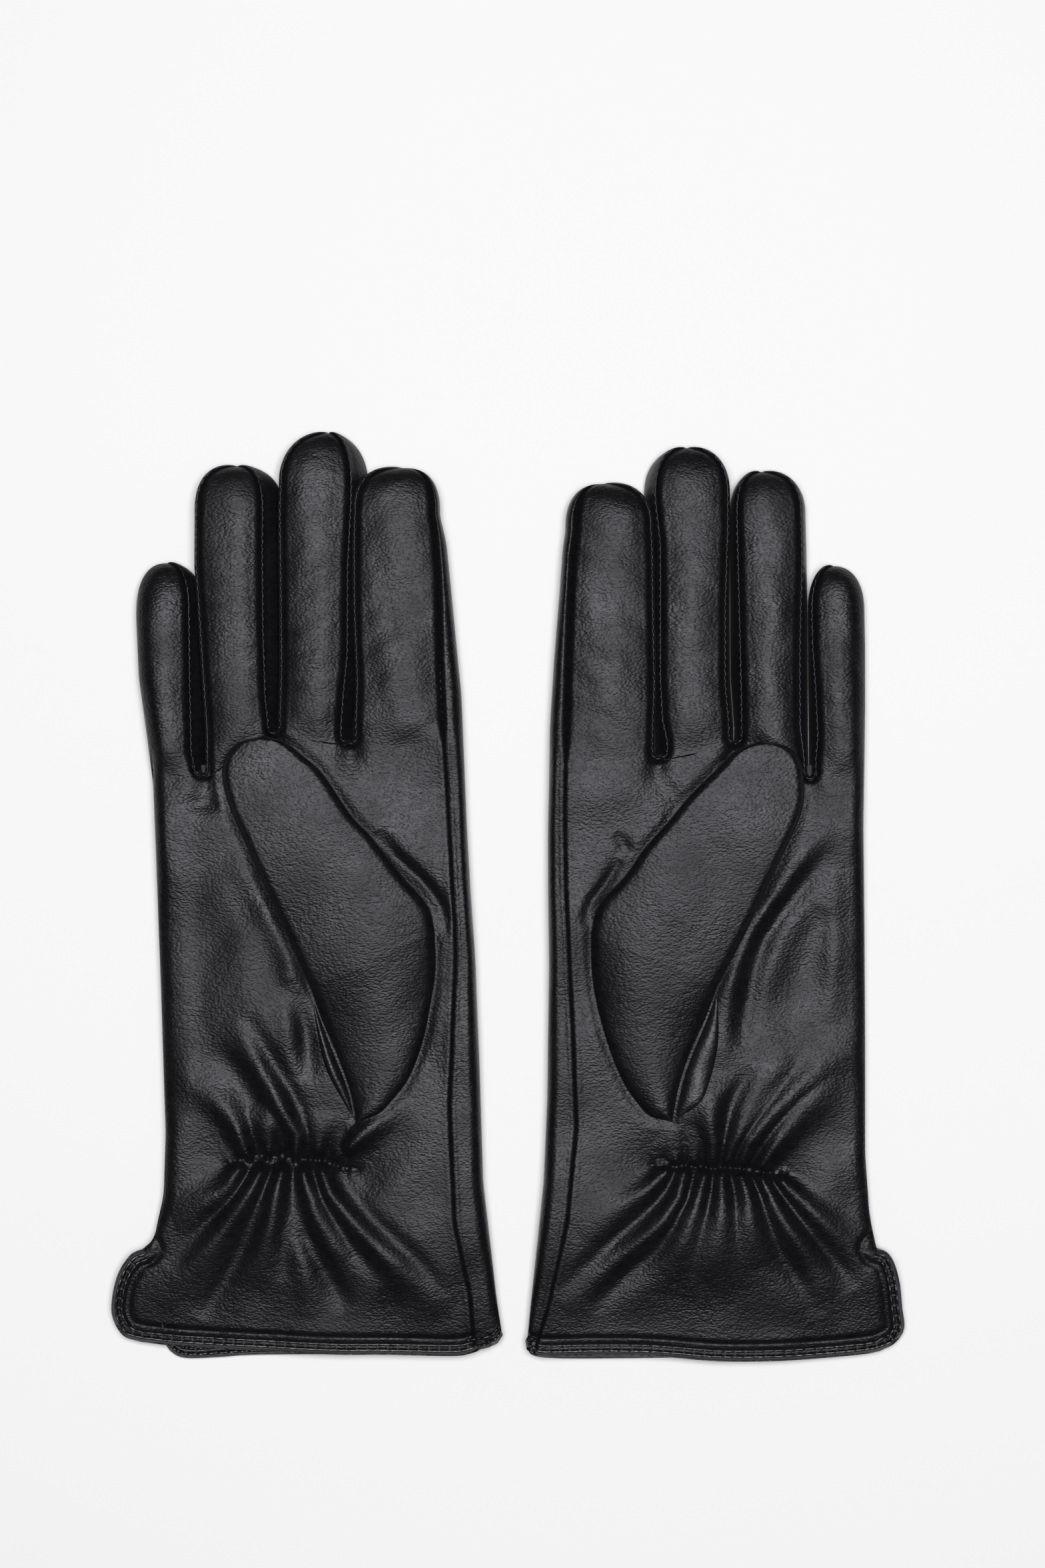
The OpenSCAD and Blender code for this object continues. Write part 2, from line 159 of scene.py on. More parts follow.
LEFT = {
    "crotches": [(40.2, 37.2), (61.4, 41.3), (81.8, 31.9)],
    "wrap": [(7, -123.5), (10.9, -110.6), (15.9, -88), (18.5, -62), (17.4, -34.6), (15.6, 3), (15.3, 24),
        (15.7, 45)],
    "thumb_side": [(4.9, -123), (6, -111.3), (9.6, -77.3), (10.6, -55), (11.1, -17), (10.8, 3), (10.8, 19),
        (11.1, 32), (11.3, 46)],
    "little_side": [(99.9, -95), (98, -85), (96.9, -70), (96.9, -41), (96.6, 3), (96.4, 20), (96.6, 31)],
    "hem": [(7, -123.8), (10.2, -124.3), (24.6, -124), (38.8, -124.3), (55.2, -125.6), (67.2, -125.8),
        (81.5, -125.3), (95.7, -124.1), (101, -123.2)],
    "vent": [(101, -123.2), (105.2, -121), (107.6, -117), (107, -111), (106.2, -104.5), (104.6, -98.8),
        (102.6, -95.9), (99.9, -95)],
    "back_hem": [(4.9, -122.5), (9, -125.3), (30, -125.6), (60, -125), (85, -124), (95, -121)],
    "corner": [(4.6, -120.6), (5.2, -122.2), (7, -123.4)],
    "index": {
        "inner": [(15.8, 46), (16, 55), (16.8, 79), (17.6, 93), (18.6, 100)],
        "outer": [(38.5, 43.5), (39, 58), (38.6, 79), (38.4, 94), (38.1, 100)],
        "back_inner": [(11.3, 46), (12.5, 65.4), (13.9, 82.5), (14.8, 95), (15.6, 100)],
        "back_outer": [(38.3, 44), (36.6, 58), (36.2, 94), (36, 100)],
        "tip": (25.8, 112.3), "round": 12.5, "square": 2.5},
    "middle": {
        "inner": [(43.5, 42.6), (42.2, 48), (41.6, 60), (41.6, 96), (40.4, 106), (40.2, 109)],
        "outer": [(59.2, 47), (58.2, 58), (58.2, 79), (58.9, 99), (58.9, 109)],
        "back_inner": [(39.7, 42.5), (38.9, 55), (38.8, 90), (37, 105), (37, 109)],
        "back_outer": [(61.2, 47), (60.3, 60), (60.1, 99), (59.6, 109)],
        "tip": (48.4, 122), "round": 12.6, "square": 2.3},
    "ring": {
        "inner": [(63.6, 46.2), (63.5, 56), (63, 76), (62.4, 100), (62.3, 104)],
        "outer": [(79.6, 37.5), (78.5, 46), (78.4, 66), (79, 92), (78.7, 104)],
        "back_inner": [(61.5, 46), (60.5, 60), (60.3, 104)],
        "back_outer": [(81.6, 37.5), (81.5, 50), (81.3, 84), (80.8, 104)],
        "tip": (68.6, 115.5), "round": 11.5, "square": 2.4},
    "little": {
        "inner": [(83.6, 36.5), (84.2, 44), (83.6, 57), (82.8, 68), (82.6, 77)],
        "outer": [(96.6, 31), (96.9, 51.6), (96.9, 68), (96.7, 77)],
        "back_inner": [(81.9, 36), (81.75, 48), (81.6, 60), (81.5, 77)],
        "tip": (88.2, 90), "round": 12.5, "square": 2.3},
    "thumb_inner_base": [(44.5, -60.4), (38.6, -59.2), (34.5, -55.2), (30.5, -49), (26.9, -40.2),
        (24.2, -31), (22.6, -20.8), (22.3, -9.5)],
    "thumb_inner": [(22.3, -9.5), (24.4, -2), (31.8, 6.4), (36.6, 13.4), (42.8, 20.4), (49, 27.8),
        (55.9, 34.6), (60.8, 39.4), (67.5, 42.5)],
    "thumb_outer_base": [(44.5, -60.4), (46.4, -51), (49, -43), (53.2, -33.2), (56.6, -23.7)],
    "thumb_outer": [(56.6, -23.7), (64.2, -9.1), (71, 5.3), (77.3, 18.4), (79.5, 25), (79.8, 31),
        (78.6, 37.6), (74.6, 41.2), (67.5, 42.5)],
    "gusset": [(44.5, -60.8), (51.8, -56), (54.8, -49.8), (56.7, -42), (57.2, -34.6), (56.6, -27)],
    "gather": [(39, -72.4), (49.9, -72.8), (60.8, -73.3), (76, -75.3)],
    "ridges": [
        [(42.5, -74), (36.9, -79.3), (28, -85), (19, -91)],
        [(47.5, -74.4), (45.4, -82.2), (39.7, -89.2), (31.3, -96.2), (23.5, -103.3), (14.4, -111.7)],
        [(53.1, -75.1), (51, -82.2), (48.2, -88.5), (45.4, -99), (43.5, -108)],
        [(57.8, -74.9), (57.5, -85), (55.9, -94.1), (51.7, -104)],
        [(63, -75.3), (65.1, -80.7), (66.5, -89.2), (70.7, -99)],
        [(68.6, -75.6), (73.5, -85), (79.1, -94.1), (88.5, -108)],
        [(74, -76.5), (87, -90), (97, -99)],
        [(45.2, -71.2), (44.7, -68), (41.1, -63.8)],
        [(50.2, -71.2), (50.3, -66), (47.5, -62.4)],
        [(55.3, -71.4), (55.5, -66), (54.7, -56.8), (56, -47)],
        [(59.6, -71), (61.5, -65.3), (66.5, -58.2), (72.1, -51.9), (78.5, -43)],
        [(63.2, -71.4), (65.8, -65.3), (72.8, -56.8), (84.1, -46.2), (94.6, -39)],
        [(68.6, -72.6), (73.5, -65.3), (80.6, -56.8), (92, -46)]],
    "folds": [
        (1.1, 3.2, [(88, 22), (77.7, 8), (68.2, -5), (62.9, -12), (60.5, -22),
        (58.5, -36), (58, -46)]),
        (-1.4, 3, [(87, 14), (78, 1.5), (71.2, -7), (67.6, -15), (65, -26), (62.5, -41)]),
        (-1, 7, [(85, -2), (78, -18), (73, -36)]),
        (0.8, 3.6, [(88.5, 8), (88, -14), (87, -34)]),
        (-0.9, 3, [(66.5, -78), (72, -92), (80, -106), (84, -114)]),
        (-1.2, 3, [(72.5, -79), (83, -91), (94, -106)]),
        (-1.1, 3, [(49.5, -79), (44, -90), (33, -101), (22, -112)]),
        (-0.9, 2.8, [(44, -79), (36, -87), (24, -97), (13, -108)]),
        (-1, 2.4, [(57.5, -66), (60, -56), (66, -46)]),
        (-0.8, 3, [(63, -64), (70, -54), (82, -43)]),
        (-0.6, 1.7, [(28.8, 17.5), (31.5, 14.5), (33.5, 11.5)]),
        (-0.4, 2.2, [(31.5, 15), (29.5, 10.5), (25.5, 4.5)]),
        (-1.2, 1.6, [(31, 10), (26, 3.5), (22, -2), (20.5, -8)]),
        (-0.5, 2.6, [(41, 31), (45, 27), (41, 22)])],
}
GLOVES = {"right": RIGHT, "left": LEFT}
FINGERS = ("index", "middle", "ring", "little")

# The section of a fourchette: share of the way down, distance out from the top seam and height
# over it, and 1 where it is puckered by the stitches.
FORK_SECTION = (
    (0, 0.0, -2.2, 0), (0, 0.08, -0.8, 0), (0, 0.18, 0.05, 1), (0, 0.34, 0.42, 1),
    (0, 0.6, 0.5, 1), (0, 0.86, 0.4, 1), (0, 1.04, 0.0, 1), (0.02, 1.12, -0.5, 0),
    (0.16, 1.05, -0.3, 0), (0.34, 0.9, 0.0, 0), (0.52, 0.72, 0.12, 0),
    (0.7, 0.5, 0.12, 0), (0.85, 0.3, 0.05, 0), (1, 0.0, -0.3, 0))

# The section of a binding: distance in from the edge, height over the panel, share of the pucker.
BINDING_SECTION = (
    (1.1, -1.5, 0), (0.4, -1.35, 0), (0.0, -0.8, 0), (0.08, -0.25, 0), (0.35, 0.1, 0),
    (0.75, 0.4, 0.2), (0.95, 0.95, 1), (1.15, 1.12, 1), (1.5, 1.12, 1), (1.7, 0.9, 1),
    (1.85, 0.1, 0.2), (2.15, -0.5, 0), (2.45, 0.1, 0.2), (2.6, 0.9, 1), (2.8, 1.1, 1),
    (3.1, 1.1, 1), (3.3, 0.85, 1), (3.5, 0.1, 0.2), (3.75, -0.7, 0), (3.9, -1.3, 0))


# ---- curves and surfaces ----

def dense(points):
    """Points close together along a smooth curve through the given ones."""
    p = np.array(points, float)
    p = np.vstack([2 * p[0] - p[1], p, 2 * p[-1] - p[-2]])
    t = np.linspace(0, 1, 24, endpoint=False)[:, None]
    runs = [0.5 * (2 * b + (c - a) * t + (2 * a - 5 * b + 4 * c - d) * t ** 2
                   + (3 * b - a - 3 * c + d) * t ** 3)
            for a, b, c, d in zip(p, p[1:], p[2:], p[3:])]
    return np.vstack(runs + [p[-2:-1]])


def run(curve):
    """How far along a curve each of its points is."""
    return np.r_[0, np.cumsum(np.linalg.norm(np.diff(curve, axis=0), axis=1))]


def along(curve, count):
    """A curve cut into evenly spaced points, or into the given shares of its length."""
    far = run(curve)
    shares = np.linspace(0, 1, count) if np.isscalar(count) else np.asarray(count)
    return np.column_stack([np.interp(shares * far[-1], far, curve[:, k]) for k in (0, 1)])


def along_y(curve, shares):
    """Points of a rising curve at the given shares of its rise."""
    y = np.maximum.accumulate(curve[:, 1] + np.arange(len(curve)) * 1e-6)
    at = y[0] + (y[-1] - y[0]) * shares
    return np.column_stack([np.interp(at, y, curve[:, 0]), np.interp(at, y, curve[:, 1])])


def edge(points, soften=1.2):
    """x as a smooth function of y along an edge that runs up the glove."""
    p = np.array(sorted(points, key=lambda q: q[1]), float)
    y = np.arange(p[0, 1] - 12, p[-1, 1] + 12, EDGE_STEP)
    x = np.interp(y, p[:, 1], p[:, 0])
    half = int(3 * soften / EDGE_STEP)
    kernel = np.exp(-0.5 * (np.arange(-half, half + 1) * EDGE_STEP / soften) ** 2)
    x = np.convolve(np.pad(x, half, mode="edge"), kernel / kernel.sum(), mode="valid")
    return lambda at: np.interp(at, y, x)


def upright(x_of, corner, top, rows):
    """Points of an edge from a corner of the hem up to the given place."""
    y = np.linspace(corner[1], top, rows)
    line = np.column_stack([x_of(y), y])
    line[0] = corner
    return line


def points_of(x_of, heights):
    """Points of an edge at the given places up the glove."""
    return [(float(x_of(y)), y) for y in heights]


def inward(curve):
    """Unit normals to the left of a curve."""
    t = np.gradient(curve, axis=0)
    t /= np.linalg.norm(t, axis=1)[:, None]
    return np.column_stack([-t[:, 1], t[:, 0]])


def smooth(t):
    t = np.clip(t, 0, 1)
    return t * t * (3 - 2 * t)


def bell(d, width):
    return np.exp(-(d / width) ** 2)


def rolled(d, reach):
    """0 at an edge and 1 from reach inwards, rising like a quarter circle."""
    return np.sqrt(1 - (1 - np.clip(d / reach, 0, 1)) ** 2)


def folded(z, share):
    """A height drawn to that of the fold along the sides: 0 lies there, 1 stays as it is."""
    return MID_Z + (z - MID_Z) * share


def blunt(wave, power):
    """A sine or cosine drawn out towards its peaks, for tubes with flattened sides."""
    return np.sign(wave) * np.abs(wave) ** power


def distance(x, y, line):
    """Distance of points from a line through the given corners, and how far along it they are."""
    p = np.array(line, float)
    lengths = np.linalg.norm(np.diff(p, axis=0), axis=1)
    start = np.r_[0, np.cumsum(lengths)[:-1]]
    best = np.full(np.shape(x), 1e9)
    where = np.zeros(np.shape(x))
    for a, b, length, s in zip(p, p[1:], lengths, start):
        u = (b - a) / length
        t = np.clip((x - a[0]) * u[0] + (y - a[1]) * u[1], 0, length)
        d = np.hypot(x - a[0] - t * u[0], y - a[1] - t * u[1])
        where = np.where(d < best, (s + t) / lengths.sum(), where)
        best = np.minimum(best, d)
    return best, np.clip(where, 0.001, 0.999)


def ripple(x, y, seed, wave):
    """A gentle random unevenness, about 1 high, with waves of about the given length."""
    rng = np.random.default_rng(seed)
    total = np.zeros(np.shape(x))
    for _ in range(WAVES):
        turn, phase, size = rng.uniform(0, pi), rng.uniform(0, 2 * pi), rng.uniform(0.7, 1.5)
        total += np.sin((x * cos(turn) + y * sin(turn)) * 2 * pi / (wave * size) + phase)
    return total / WAVES * 1.6


def between(a, b, u):
    """Points from line a to line b, at the shares u of the way across."""
    return a[:, None] * (1 - u[None, :, None]) + b[:, None] * u[None, :, None]


def coons(bottom, top, left, right, u, v):
    """The plane grid of points between four edges that meet at their ends."""
    u, v = u[None, :, None], v[:, None, None]
    b, t, l, r = bottom[None], top[None], left[:, None], right[:, None]
    corners = ((1 - u) * (1 - v) * b[:, :1] + u * (1 - v) * b[:, -1:]
               + (1 - u) * v * t[:, :1] + u * v * t[:, -1:])
    return (1 - v) * b + v * t + (1 - u) * l + u * r - corners


def spacing(width, step, start, end):
    """Shares of a width: close together near each end as listed in mm, and step apart between."""
    low, high = start[-1], width - end[-1]
    middle = np.linspace(low, high, max(2, int(round((high - low) / step)) + 1))
    return np.r_[start[:-1], middle, [width - e for e in end[-2::-1]]] / width


def eased(reach, count):
    """Distances in from an edge that rolls over, close together where it is steep."""
    return tuple(reach * (1 - cos(a)) for a in np.linspace(0, pi / 2, count))


def lip_shares(turn, count):
    """Shares across a lip, close together where it turns over at the fold."""
    near = turn * (1 - np.cos(np.linspace(0, pi / 2, 12)))
    return np.r_[near, np.linspace(near[-1], 1, count)[1:]]


def tube_ring(mid, half, z, tall, power):
    """One ring of a flattened tube. half is the vector from its middle to its side."""
    turns = np.linspace(0, 2 * pi, 28, endpoint=False)
    across = blunt(np.cos(turns), power)
    rise = blunt(np.sin(turns), 0.7)
    return np.column_stack([mid[0] + half[0] * across, mid[1] + half[1] * across, z + tall * rise])


# ---- meshes ----

def add_object(name, data):
    thing = bpy.data.objects.new(name, data)
    bpy.context.scene.collection.objects.link(thing)
    return thing


def make(name, side, verts, faces, slot):
    """A smooth-shaded mesh object from points in the pattern's frame."""
    points = np.array(verts, float).reshape(-1, 3) * MM
    points[:, 0] *= SIGN[side]
    if SIGN[side] < 0:
        faces = [f[::-1] for f in faces]
    full_name = f"{side}_{name}_soft"
    mesh = bpy.data.meshes.new(full_name)
    mesh.from_pydata(points.tolist(), [], faces)
    mesh.polygons.foreach_set("use_smooth", [True] * len(mesh.polygons))
    mesh.validate()
    mesh.update()
    mesh.materials.append(MATERIALS[slot])
    piece = add_object(full_name, mesh)
    return piece


def grid_faces(rows, cols, closed=False, first=0):
    """Quads of a grid of points. Closed joins its last column to its first."""
    faces = []
    for i in range(rows - 1):
        for j in range(cols if closed else cols - 1):
            k = (j + 1) % cols
            faces.append([first + i * cols + j, first + i * cols + k,
                          first + (i + 1) * cols + k, first + (i + 1) * cols + j])
    return faces


def sheet(name, side, grid, slot, closed=False):
    """A piece from one grid of points."""
    return make(name, side, grid, grid_faces(*grid.shape[:2], closed), slot)


def joined(name, side, grids, slot):
    """Several grids as one piece."""
    verts, faces = [], []
    for grid in grids:
        faces += grid_faces(*grid.shape[:2], first=len(verts))
        verts += grid.reshape(-1, 3).tolist()
    return make(name, side, verts, faces, slot)


# ---- materials ----

def node(tree, kind, **values):
    """A new node with the given inputs and settings."""
    return set_up(tree.nodes.new(kind), **values)


def set_up(n, **values):
    for key, value in values.items():
        if key in n.inputs:
            n.inputs[key].default_value = value
        else:
            setattr(n, key, value)
    return n


def placed(tree, kind, vector, **values):
    """A new node that works at the given place."""
    n = node(tree, kind, **values)
    tree.links.new(vector, n.inputs["Vector"])
    return n


def new_material(name):
    m = bpy.data.materials.new(name)
    m.use_nodes = True
    tree = m.node_tree
    shader = tree.nodes["Principled BSDF"]
    place = tree.nodes.new("ShaderNodeTexCoord").outputs["Object"]
    return m, tree, shader, place


def bump(tree, height, strength, distance, under=None, invert=False):
    """Relief from a height, on top of the relief under it."""
    relief = node(tree, "ShaderNodeBump", Strength=strength, Distance=distance, invert=invert)
    tree.links.new(height, relief.inputs["Height"])
    if under is not None:
        tree.links.new(under, relief.inputs["Normal"])
    return relief.outputs["Normal"]


def two_tone(tree, share, shader, dark, light, low=0.0, high=1.0):
    """Base colour that goes from dark to light as share goes from low to high."""
    tone = node(tree, "ShaderNodeValToRGB")
    for stop, place, colour in zip(tone.color_ramp.elements, (low, high), (dark, light)):
        stop.position = place
        stop.color = (*colour, 1)
    tree.links.new(share, tone.inputs["Fac"])
    tree.links.new(tone.outputs["Color"], shader.inputs["Base Color"])


def leather(name, dark, light, roughness, grain, crease, shine):
    """Fine-grained leather: pebbles drawn out across the glove, fine creases, and a base colour that is
    paler where the creases stand higher.
    """
    m, tree, shader, place = new_material(name)
    link = tree.links.new
    across = placed(tree, "ShaderNodeMapping", place, Scale=(1.0, 1.7, 1.3)).outputs["Vector"]
    bend = placed(tree, "ShaderNodeTexNoise", across, Scale=900.0, Detail=2.0)
    mix = node(tree, "ShaderNodeMix", data_type="VECTOR", Factor=0.0006)
    link(across, mix.inputs["A"])
    link(bend.outputs["Color"], mix.inputs["B"])
    pebbles = placed(tree, "ShaderNodeTexVoronoi", mix.outputs["Result"], feature="SMOOTH_F1",
                     Scale=1150.0, Smoothness=0.55)
    creases = placed(tree, "ShaderNodeTexNoise", across, Scale=420.0, Detail=5.0, Roughness=0.62,
                     Distortion=0.6)
    broad = placed(tree, "ShaderNodeTexNoise", place, Scale=70.0, Detail=3.0, Roughness=0.55)
    relief = bump(tree, pebbles.outputs["Distance"], grain, 0.00022, invert=True)
    relief = bump(tree, creases.outputs["Fac"], crease, 0.0005, relief)
    relief = bump(tree, broad.outputs["Fac"], 0.2, 0.0016, relief)
    link(relief, shader.inputs["Normal"])
    two_tone(tree, creases.outputs["Fac"], shader, dark, light, 0.35, 0.7)
    rough = node(tree, "ShaderNodeMapRange", **{
        "From Min": 0.3, "From Max": 0.7, "To Min": roughness - 0.06, "To Max": roughness + 0.08})
    link(broad.outputs["Fac"], rough.inputs["Value"])
    link(rough.outputs["Result"], shader.inputs["Roughness"])
    set_up(shader, **{"Specular IOR Level": shine, "Specular Tint": (0.93, 0.93, 1.0, 1),
                      "Sheen Weight": 0.015, "Sheen Roughness": 0.4})
    return m


def cloth(name, colour, scale, strength):
    """Fine knit or woven cloth: crossed ribs with a soft sheen."""
    m, tree, shader, place = new_material(name)
    link = tree.links.new
    both = node(tree, "ShaderNodeMath", operation="MULTIPLY")
    for direction, factor in zip("XY", both.inputs):
        ribs = placed(tree, "ShaderNodeTexWave", place, bands_direction=direction, Scale=scale,
                      Distortion=0.8, Detail=1.0)
        link(ribs.outputs["Fac"], factor)
    link(bump(tree, both.outputs[0], strength, 0.0003), shader.inputs["Normal"])
    two_tone(tree, both.outputs[0], shader, [c * 0.5 for c in colour], colour)
    set_up(shader, **{"Roughness": 0.85, "Sheen Weight": 0.25})
    return m


BLACK = ((0.0024, 0.0024, 0.0032), (0.0055, 0.0055, 0.007))
BLACK_EDGE = ((0.003, 0.003, 0.0038), (0.006, 0.006, 0.0074))
MATERIALS = {
    "leather": leather("black_leather", *BLACK, 0.36, 0.45, 0.26, 0.18),
    "fork_leather": leather("black_leather_sides", *BLACK, 0.36, 0.35, 0.25, 0.26),
    "edge_leather": leather("black_leather_binding", *BLACK_EDGE, 0.3, 0.25, 0.2, 0.45),
    "lining": cloth("lining_knit", (0.03, 0.03, 0.034), 420.0, 0.6),
    "elastic": cloth("elastic_weave", (0.05, 0.05, 0.055), 300.0, 0.8),
    "thread": cloth("thread", (0.012, 0.012, 0.014), 900.0, 0.5)}


# ---- the shape of the flat hand ----

class Hand:
    """The edges of one glove and the height of its palm side."""

    def __init__(self, side):
        g = GLOVES[side]
        self.side, self.g = side, g
        self.wrap = edge(g["wrap"])
        self.thumb_side = edge(g["thumb_side"])
        self.little_side = edge(g["little_side"], 2.0)
        self.seed = 11 if side == "right" else 23
        inner = g["thumb_inner_base"] + g["thumb_inner"][1:]
        outer = g["thumb_outer_base"] + g["thumb_outer"][1:]
        self.thumb_ring = dense(inner + outer[::-1][1:])
        self.ridges = [along(dense(line), 9) for line in g["ridges"]]
        self.folds = [(size, width, along(dense(line), 9)) for size, width, line in g["folds"]]
        self.vent_y = g["vent"][-1][1]
        self.hem_line = np.vstack([dense(g["hem"])[:-1], dense(g["vent"])])
        self.back_hem_line = along(dense(g["back_hem"]), 260)
        # the line where the hand's pieces meet the fingers'
        self.border_points = [(x, y - BORDER_DROP) for x, y in g["crotches"]]
        low, high = self.border_points[0][1], self.border_points[2][1] + 1
        self.border_low = (self.wrap(low), low)
        self.border_high = (self.little_side(high), high)

    def gathers(self, x, y):
        """The trench of the elastic and the ridges that run out from it."""
        d, far = distance(x, y, self.g["gather"])
        ends = np.sin(pi * (0.08 + 0.84 * far)) ** 0.6
        pits = 0.7 + 0.3 * np.cos(2 * pi * far * GATHER_PITS)
        trench = (2.5 * np.exp(-d / 1.0) * pits + 2.6 * bell(d, 7)) * ends
        # the ridges meet in sharp valleys, so the tallest counts at each point
        ridge = np.zeros(np.shape(x))
        for line in self.ridges:
            off, out = distance(x, y, line)
            size = min(1.0, np.linalg.norm(line[-1] - line[0]) / FULL_RIDGE)
            ridge = np.maximum(ridge, size * bell(off, 2.1 + 3.6 * out) * (1 - out) ** 0.9)
        return 2.5 * ridge - 0.5 * bell(d, 14) - trench

    def creases(self, x, y):
        """Crotches, folds, the ring pressed by the thumb, the hem's groove and the wrap seam."""
        z = np.zeros(np.shape(x))
        for cx, cy in self.g["crotches"]:
            down = np.clip((cy - y) / 14, 0, 1)
            z = z - 1.0 * bell(x - cx, 2.4 + 3 * down) * (1 - smooth(down))
        for size, width, line in self.folds:
            d, far = distance(x, y, line)
            z = z + size * bell(d, width) * np.sin(pi * far) ** 0.7
        d, _ = distance(x, y, self.thumb_ring[::6])
        z = z - 0.5 * bell(d, 1.5)
        d, _ = distance(x, y, self.hem_line[::6])
        z = z - 0.9 * bell(d - 4.4, 0.8)
        seam = x - self.wrap(y)
        return z - 0.55 * bell(seam, 0.2) + 0.15 * (bell(seam - 1.1, 0.6) + bell(seam + 1.1, 0.6))

    def height(self, x, y):
        """Height of the palm side at points of the hand and of the finger roots."""
        z = PALM_Z + 0.6 * ripple(x, y, self.seed, 42) + 0.22 * ripple(x, y, self.seed + 1, 15)
        z = z - 1.9 * smooth((x - 55) / 45) * smooth((22 - y) / 34) - 3.5 * smooth((-86 - y) / 38)
        z = z + self.gathers(x, y) + self.creases(x, y)
        fold = rolled(self.little_side(y) - x, 3.8)
        open_vent = smooth((self.vent_y + 4 - y) / 8)
        fold = fold * (1 - open_vent) + open_vent
        reach = np.clip(0.45 * (self.wrap(y) - self.thumb_side(y)), 0.8, 3.4)
        return folded(z, fold * rolled(x - self.thumb_side(y), reach))

    def inner_height(self, x, y):
        """Height that the hem's binding follows: the fold along the hand's side doesn't lower it."""
        return self.height(np.minimum(x, SIDE_X), y)


def palm_panel(hand):
    """The palm, from the wrap seam to the fold on the little finger's side, with its vent flap."""
    hem, vent, side_edge = (dense(hand.g[key]) for key in ("hem", "vent", "little_side"))
    border = np.array([hand.border_low, *hand.border_points, hand.border_high])
    left = upright(hand.wrap, hem[0], hand.border_low[1], PALM_ROWS)
    right = np.vstack([vent[:-1], side_edge[side_edge[:, 1] < hand.border_high[1]], [hand.border_high]])
    v = np.linspace(0, 1, PALM_ROWS)
    # the rows are shared out by height, so that each side's rows lie level
    left, right = along_y(left, v), along_y(right, v)
    width = np.hypot(*(right[PALM_ROWS // 2] - left[PALM_ROWS // 2]))
    u = spacing(width, 0.5, (0, 0.25, 0.5, 0.85, 1.3, 2.0, 2.8), eased(6.0, 12))
    flat = coons(along(hem, u), along(border, u), left, right, u, v)
    return np.dstack([flat, hand.height(flat[..., 0], flat[..., 1])])


def back_panel(hand):
    """The back, with the fold on the little finger's side and the lip that wraps onto the palm."""
    v = np.linspace(0, 1, BACK_ROWS)
    hem = dense(hand.g["back_hem"])
    little = edge([tuple(hem[-1])] + [p for p in hand.g["little_side"] if p[1] > hand.vent_y + 2], 2.0)
    right = upright(little, hem[-1], hand.border_high[1], BACK_ROWS)
    left = upright(hand.thumb_side, hem[0], hand.border_low[1], BACK_ROWS)
    u = spacing(86.0, 1.3, eased(5.0, 9), eased(5.0, 9))
    border = np.array([left[-1], *hand.border_points, hand.border_high])
    flat = coons(along(hem, u), along(border, u), left, right, u, v)
    x, y = flat[..., 0], flat[..., 1]
    slit = smooth((hand.vent_y + 3 - y) / 8)
    fold = rolled(right[:, None, 0] - x, 5.0) * (1 - slit) + slit
    fold = fold * rolled(x - left[:, None, 0], 5.0)
    z = folded(FLOOR_Z + 0.12 * ripple(x, y, hand.seed + 3, 30), fold)
    under = np.dstack([flat, z])[:, ::-1]
    # the lip runs on from the fold on the thumb's side to the seam on the palm
    wrap = np.column_stack([hand.wrap(left[:, 1]), left[:, 1]])
    wrap[0] = hand.g["hem"][0]
    lip = between(left, wrap, lip_shares(0.55, 14))
    top = np.dstack([lip, hand.height(lip[..., 0], lip[..., 1])])
    return np.concatenate([under, top[:, 1:]], axis=1)


# ---- fingers ----

